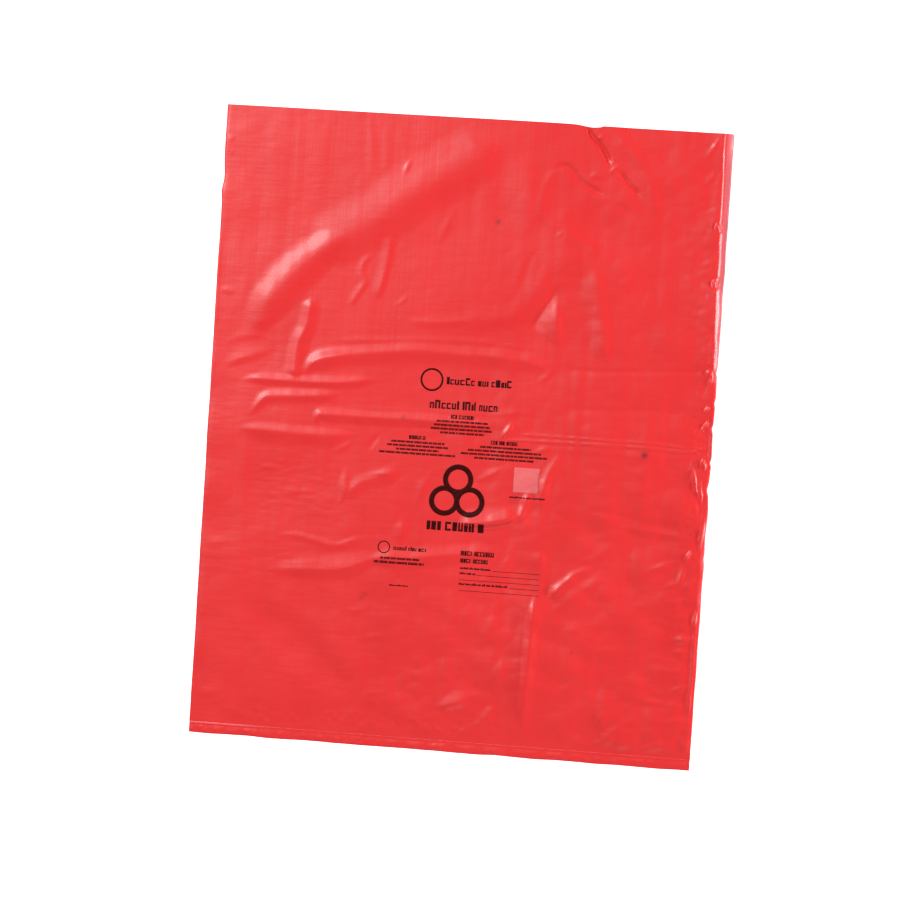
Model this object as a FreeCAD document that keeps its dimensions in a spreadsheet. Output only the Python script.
import FreeCAD, Part
import Sketcher
import math
import os

# Flat film waste bag: a lay-flat tube of thin film, heat sealed across its foot and open at its mouth.
# Row frame: +X across the bag, +Y from the foot to the mouth, +Z up off the surface that it lies on.
# The origin is the middle of the bag on that surface. Millimetres and degrees.
#
# The film tube is one piece. It opens like a pouch: the front wall lifts about the heat seal, and each
# side of both walls turns about a crease that runs from a bottom corner to the mouth. The film is
# therefore divided along those four creases and along its two side folds.

SHEET_NAME = "Sizes"

# alias, value, what it is
DIMENSIONS = [
    ("layflat_width", 482.6, "width of the flattened tube, 19 in"),
    ("overall_length", 605.0, "mouth to the cut end below the heat seal"),
    ("skirt_length", 8.0, "loose film below the heat seal"),
    ("seal_width", 2.5, "heat seal"),
    ("film_thickness", 0.05, "one wall of the tube, 2 mil"),
    ("ply_gap", 0.1, "space between the walls at the heat seal"),
    ("wing_width", 200.0, "side wing of a wall, measured along the mouth"),
    ("wing_tip_trim", 4.0, "how far above the seal each pointed wing begins"),
    ("mouth_gap", 10.0, "height of the front wall's mouth edge at rest"),
    ("wing_rest_angle", 1.25, "turn of each wing about its crease at rest"),
    ("crease_gap", 0.1, "slit along each crease, so that the facets turn freely"),
    ("hinge_gap", 0.1, "slit between the heat seal and the front wall"),
    ("fold_height", 0.1, "height of the side fold's upright film"),
    ("fold_gap", 0.3, "front wings stop this far inside the side folds"),
    ("ink_thickness", 0.02, "printed ink"),
    ("patch_size", 24.0, "square indicator patch"),
    ("patch_left", 56.0, "indicator patch, left edge"),
    ("patch_base", -49.0, "indicator patch, lower edge"),
    ("emblem_x", 3.3, "middle of the three-ring emblem"),
    ("emblem_y", -54.5, "middle of the three-ring emblem"),
    ("emblem_ring_radius", 14.5, "outside of each emblem ring"),
    ("emblem_ring_bore", 9.5, "inside of each emblem ring"),
    ("emblem_spread", 14.0, "emblem's middle to each ring's middle"),
    ("emblem_hub_radius", 4.5, "disc in the middle of the emblem"),
    ("maker_ring_x", -28.0, "plain ring beside the upper word bars"),
    ("maker_ring_y", 53.0, "plain ring beside the upper word bars"),
    ("maker_ring_radius", 11.0, "outside of that ring"),
    ("maker_ring_bore", 9.2, "inside of that ring"),
    ("footer_ring_x", -63.5, "plain ring beside the lower word bars"),
    ("footer_ring_y", -109.8, "plain ring beside the lower word bars"),
    ("footer_ring_radius", 6.0, "outside of that ring"),
    ("footer_ring_bore", 4.9, "inside of that ring"),
]

# Each line of print is a plain bar per word group: left, right, base, height.
BAR_SIDES = ("left", "right", "base", "height")
PRINT_BARS = {
    "maker_mark_print": [(-14, 18, 48.5, 7), (21, 48, 48.5, 7)],
    "title_print": [(-28.5, 16, 26, 8), (19, 37, 26, 8)],
    "notice_centre_print": [
        (-7.5, 14.5, 17, 4), (-21, 28, 13.3, 2), (-23, 30, 9.7, 2), (-26, 32, 6.1, 2), (-17, 25, 2.5, 2),
    ],
    "notice_left_print": [
        (-46, -30, -5, 4), (-63, -12, -8.7, 2), (-67, -8, -12.3, 2), (-58, -17, -15.9, 2),
        (-74, -1, -19.5, 2),
    ],
    "notice_right_print": [
        (32, 59, -5, 4), (22, 70, -8.7, 2), (11, 80, -12.3, 2), (4, 87, -15.9, 2), (17, 74, -19.5, 2),
    ],
    "indicator_caption_print": [(53, 87, -54.5, 2)],
    "emblem_print": [],
    "emblem_caption_print": [(-24, 32, -90, 8.5)],
    "footer_mark_print": [(-54, -23, -112.5, 4.5)],
    "footer_contact_print": [(-66, -29, -121, 2), (-72, -24, -125.2, 2.2)],
    "item_line_print": [(10.5, 21, -112.5, 4.5), (24, 43, -112.5, 4.5)],
    "size_line_print": [(10.5, 20, -119.5, 4), (23, 37, -119.5, 4)],
    "write_in_labels_print": [(10.5, 41, -125.6, 2.2), (10.5, 25.5, -130.6, 2.2), (10.5, 58, -140.8, 2.2)],
    "write_in_rules_print": [
        (42, 87, -126, 0.5), (26.5, 87, -131, 0.5), (10.5, 87, -136.2, 0.5), (59, 87, -141.3, 0.5),
        (10.5, 87, -146.5, 0.5),
    ],
    "origin_line_print": [(-56, -38, -146.5, 1.6)],
}
# Prints that carry a ring, with the aliases' prefix.
PRINT_RINGS = {"maker_mark_print": "maker_ring", "footer_mark_print": "footer_ring"}
EMBLEM_RING_ANGLES = (90.0, 210.0, 330.0)

SIZES = {alias: value for alias, value, _ in DIMENSIONS}

# Expressions shared by several sub-parts.
HALF = "Sizes.layflat_width / 2"
MOUTH_Y = "Sizes.overall_length / 2"
CUT_END_Y = "-Sizes.overall_length / 2"
SEAL_LOW_Y = "-Sizes.overall_length / 2 + Sizes.skirt_length"
FOOT_Y = "-Sizes.overall_length / 2 + Sizes.skirt_length + Sizes.seal_width"
WALL_LENGTH = "(Sizes.overall_length - Sizes.skirt_length - Sizes.seal_width)"
CREASE_MOUTH_X = "Sizes.layflat_width / 2 - Sizes.wing_width"
TIP_Y = FOOT_Y + " + Sizes.wing_tip_trim"
TIP_WIDTH = "Sizes.wing_width * Sizes.wing_tip_trim / " + WALL_LENGTH

# The same places as numbers, for the placements.
HALF_WIDTH = SIZES["layflat_width"] / 2
WALL_RUN = SIZES["overall_length"] - SIZES["skirt_length"] - SIZES["seal_width"]
SEAL_EDGE_Y = SIZES["overall_length"] / 2 - WALL_RUN
FILM = SIZES["film_thickness"]
FRONT_Z = FILM + SIZES["ply_gap"]
SEAL_MID_Z = FILM + SIZES["ply_gap"] / 2
CREASE_ANGLE = math.atan2(SIZES["wing_width"], WALL_RUN)
MOUTH_REST_ANGLE = math.degrees(math.asin(SIZES["mouth_gap"] / WALL_RUN))


def make_sheet(doc):
    """The driving dimensions, and the print's bars, as plain numbers with aliases."""
    sheet = doc.addObject("Spreadsheet::Sheet", SHEET_NAME)
    rows = list(DIMENSIONS)
    for name, bars in PRINT_BARS.items():
        for number, bar in enumerate(bars, 1):
            for side, value in zip(BAR_SIDES, bar):
                rows.append((bar_alias(name, number, side), value, ""))
    for number, (alias, value, note) in enumerate(rows, 1):
        sheet.set("A%d" % number, note)
        sheet.set("B%d" % number, str(value))
        sheet.setAlias("B%d" % number, alias)
    doc.recompute()


def bar_alias(name, number, side):
    return "%s_bar%d_%s" % (name, number, side)


def padded_outline(doc, name, corners, height):
    """A flat facet: a closed outline on the XY plane, each corner bound to the sheet, padded upwards."""
    body = doc.addObject("PartDesign::Body", name)
    sketch = body.newObject("Sketcher::SketchObject", name + "_outline")
    plane = [feature for feature in body.Origin.OriginFeatures if feature.Role == "XY_Plane"][0]
    sketch.AttachmentSupport = [(plane, "")]
    sketch.MapMode = "FlatFace"
    points = [FreeCAD.Vector(evaluate(x), evaluate(y), 0) for x, y in corners]
    count = len(points)
    for index in range(count):
        sketch.addGeometry(Part.LineSegment(points[index], points[(index + 1) % count]))
    for index in range(count):
        sketch.addConstraint(Sketcher.Constraint("Coincident", index, 2, (index + 1) % count, 1))
    for index, (corner, point) in enumerate(zip(corners, points)):
        for kind, expression, value in zip(("DistanceX", "DistanceY"), corner, (point.x, point.y)):
            bound = sketch.addConstraint(Sketcher.Constraint(kind, -1, 1, index, 1, value))
            sketch.setExpression("Constraints[%d]" % bound, expression)
    pad = body.newObject("PartDesign::Pad", name + "_film")
    pad.Profile = sketch
    pad.setExpression("Length", height)
    body.Label = name
    return body


def evaluate(expression):
    """The value of a sheet expression, which only uses sums, products and quotients of the sizes."""
    sheet = FreeCAD.ActiveDocument.getObject(SHEET_NAME)
    return float(sheet.evalExpression(expression))


def mirrored(corners):
    """The same outline on the other side of the middle line."""
    return [("-(%s)" % x, y) for x, y in corners]


def place_back_wing(side):
    """A back wing turned up about its crease; side is -1 on the left and 1 on the right."""
    corner = FreeCAD.Vector(side * HALF_WIDTH, SEAL_EDGE_Y, FILM / 2)
    turn = FreeCAD.Rotation(crease_axis(side), SIZES["wing_rest_angle"])
    return FreeCAD.Placement(FreeCAD.Vector(), turn, corner)


def raised(height):
    """A plain move upwards."""
    return FreeCAD.Placement(FreeCAD.Vector(0, 0, height), FreeCAD.Rotation())


def place_front_wall():
    """The front wall lifted off the flat about the heat seal."""
    return seal_turn().multiply(raised(FRONT_Z))


def place_front_wing(side):
    """A front wing turned down about its crease, then lifted with the front wall."""
    corner = FreeCAD.Vector(side * HALF_WIDTH, SEAL_EDGE_Y, FRONT_Z + FILM / 2)
    turn = FreeCAD.Rotation(crease_axis(side), -SIZES["wing_rest_angle"])
    crease_turn = FreeCAD.Placement(FreeCAD.Vector(), turn, corner)
    return seal_turn().multiply(crease_turn).multiply(raised(FRONT_Z))


def seal_turn():
    """The turn about the heat seal's upper edge that opens the mouth to its gap at rest."""
    hinge = FreeCAD.Vector(0, SEAL_EDGE_Y, SEAL_MID_Z)
    turn = FreeCAD.Rotation(FreeCAD.Vector(1, 0, 0), MOUTH_REST_ANGLE)
    return FreeCAD.Placement(FreeCAD.Vector(), turn, hinge)


def crease_axis(side):
    """From the bottom corner to the mouth on the left, and back down on the right: both lift a wing."""
    return FreeCAD.Vector(math.sin(CREASE_ANGLE), -side * math.cos(CREASE_ANGLE), 0)


def make_walls(doc):
    """The two middle panels, the four side wings and the two side folds."""
    slit = " - Sizes.crease_gap / 2"
    back = [
        ("-(%s%s)" % (HALF, slit), FOOT_Y),
        (HALF + slit, FOOT_Y),
        (CREASE_MOUTH_X + slit, MOUTH_Y),
        ("-(%s%s)" % (CREASE_MOUTH_X, slit), MOUTH_Y),
    ]
    front = [(x, y + " + Sizes.hinge_gap" if y == FOOT_Y else y) for x, y in back]
    wing_edge = HALF + " - Sizes.film_thickness"
    right_wing = [
        (HALF + " - " + TIP_WIDTH + " + Sizes.crease_gap / 2", TIP_Y),
        (wing_edge, TIP_Y),
        (wing_edge, MOUTH_Y),
        (CREASE_MOUTH_X + " + Sizes.crease_gap / 2", MOUTH_Y),
    ]
    right_fold = [(wing_edge, TIP_Y), (HALF, TIP_Y), (HALF, MOUTH_Y), (wing_edge, MOUTH_Y)]
    front_wing = [(x + " - Sizes.fold_gap" if x == wing_edge else x, y) for x, y in right_wing]
    film = "Sizes.film_thickness"

    parts = [padded_outline(doc, "back_panel", back, film)]
    front_panel = padded_outline(doc, "front_panel", front, film)
    front_panel.Placement = place_front_wall()
    parts.append(front_panel)
    for side, word in ((-1, "left"), (1, "right")):
        flip = mirrored if side < 0 else list
        back_wing = padded_outline(doc, "back_%s_wing" % word, flip(right_wing), film)
        fold = padded_outline(doc, "%s_side_fold" % word, flip(right_fold), "Sizes.fold_height")
        wing = padded_outline(doc, "front_%s_wing" % word, flip(front_wing), film)
        back_wing.Placement = place_back_wing(side)
        fold.Placement = place_back_wing(side)
        wing.Placement = place_front_wing(side)
        parts.extend((back_wing, fold, wing))
    return parts


def make_foot(doc):
    """The heat seal, and the two loose plies of film below it."""
    seal = full_width_band(SEAL_LOW_Y, FOOT_Y)
    skirt = full_width_band(CUT_END_Y, SEAL_LOW_Y)
    both_plies = "2 * Sizes.film_thickness + Sizes.ply_gap"
    bottom_seal = padded_outline(doc, "bottom_seal", seal, both_plies)
    back_ply = padded_outline(doc, "skirt_back_ply", skirt, "Sizes.film_thickness")
    front_ply = padded_outline(doc, "skirt_front_ply", skirt, "Sizes.film_thickness")
    front_ply.Placement.Base = FreeCAD.Vector(0, 0, FRONT_Z)
    return [bottom_seal, back_ply, front_ply]


def full_width_band(low_y, high_y):
    """A rectangle as wide as the bag, between two heights."""
    left, right = "-(%s)" % HALF, HALF
    return [(left, low_y), (right, low_y), (right, high_y), (left, high_y)]


def make_box(doc, name, left, right, base, height):
    """One bar of ink, on the print plane z = 0."""
    box = doc.addObject("Part::Box", name)
    box.setExpression("Length", "%s - %s" % (right, left))
    box.setExpression("Width", height)
    box.setExpression("Height", "Sizes.ink_thickness")
    box.setExpression("Placement.Base.x", left)
    box.setExpression("Placement.Base.y", base)
    return box


def make_ring(doc, name, radius, bore, centre_x, centre_y):
    """One flat ring of ink, on the print plane z = 0."""
    discs = []
    for word, size in (("rim", radius), ("bore", bore)):
        disc = doc.addObject("Part::Cylinder", "%s_%s" % (name, word))
        disc.setExpression("Radius", size)
        disc.setExpression("Height", "Sizes.ink_thickness")
        disc.setExpression("Placement.Base.x", centre_x)
        disc.setExpression("Placement.Base.y", centre_y)
        discs.append(disc)
    ring = doc.addObject("Part::Cut", name)
    ring.Base, ring.Tool = discs
    return ring


def make_emblem(doc):
    """Three closed rings about a small disc."""
    pieces = []
    for number, angle in enumerate(EMBLEM_RING_ANGLES, 1):
        name = "emblem_ring_%d" % number
        centre_x = "Sizes.emblem_x + Sizes.emblem_spread * cos(%g deg)" % angle
        centre_y = "Sizes.emblem_y + Sizes.emblem_spread * sin(%g deg)" % angle
        radius, bore = "Sizes.emblem_ring_radius", "Sizes.emblem_ring_bore"
        pieces.append(make_ring(doc, name, radius, bore, centre_x, centre_y))
    hub = doc.addObject("Part::Cylinder", "emblem_hub")
    hub.setExpression("Radius", "Sizes.emblem_hub_radius")
    hub.setExpression("Height", "Sizes.ink_thickness")
    hub.setExpression("Placement.Base.x", "Sizes.emblem_x")
    hub.setExpression("Placement.Base.y", "Sizes.emblem_y")
    pieces.append(hub)
    return pieces


def make_prints(doc):
    """Every print and the indicator patch, lying on the front panel's outer face."""
    prints = []
    for name, bars in PRINT_BARS.items():
        pieces = make_emblem(doc) if name == "emblem_print" else []
        if name in PRINT_RINGS:
            prefix = "Sizes." + PRINT_RINGS[name]
            sizes = [prefix + word for word in ("_radius", "_bore", "_x", "_y")]
            pieces.append(make_ring(doc, name + "_ring", *sizes))
        for number in range(1, len(bars) + 1):
            cells = ["Sizes." + bar_alias(name, number, side) for side in BAR_SIDES]
            pieces.append(make_box(doc, "%s_bar_%d" % (name, number), *cells))
        prints.append(join(doc, name, pieces))
    left, base, size = "Sizes.patch_left", "Sizes.patch_base", "Sizes.patch_size"
    patch = make_box(doc, "patch_square", left, "%s + %s" % (left, size), base, size)
    prints.append(join(doc, "indicator_patch", [patch]))
    for ink in prints:
        ink.Placement = place_front_wall().multiply(raised(FILM))
    return prints


def join(doc, name, pieces):
    """One sub-part from its pieces, which stay separate solids where they don't meet."""
    if len(pieces) == 1:
        whole = doc.addObject("Part::Compound", name)
        whole.Links = pieces
    else:
        whole = doc.addObject("Part::MultiFuse", name)
        whole.Shapes = pieces
    whole.Label = name
    return whole


def check(doc, parts):
    """Stop unless every object computed and every sub-part is a valid solid."""
    for item in doc.Objects:
        if "Invalid" in item.State or "Error" in item.State:
            raise RuntimeError("%s did not compute: %s" % (item.Name, item.State))
    for part in parts:
        if part.Shape.isNull() or not part.Shape.isValid() or not part.Shape.Solids:
            raise RuntimeError("%s has no valid solid" % part.Label)


def main():
    doc = FreeCAD.newDocument("film_waste_bag")
    make_sheet(doc)
    parts = make_walls(doc) + make_foot(doc) + make_prints(doc)
    doc.recompute()
    check(doc, parts)
    os.makedirs("parts", exist_ok=True)
    for part in parts:
        part.Shape.exportStep(os.path.join("parts", part.Label + ".step"))
        box = part.Shape.BoundBox
        corners = (box.XMin, box.YMin, box.ZMin, box.XMax, box.YMax, box.ZMax)
        span = "  ".join("%.2f" % value for value in corners)
        print("%-24s %d solid(s)  %s" % (part.Label, len(part.Shape.Solids), span))


main()
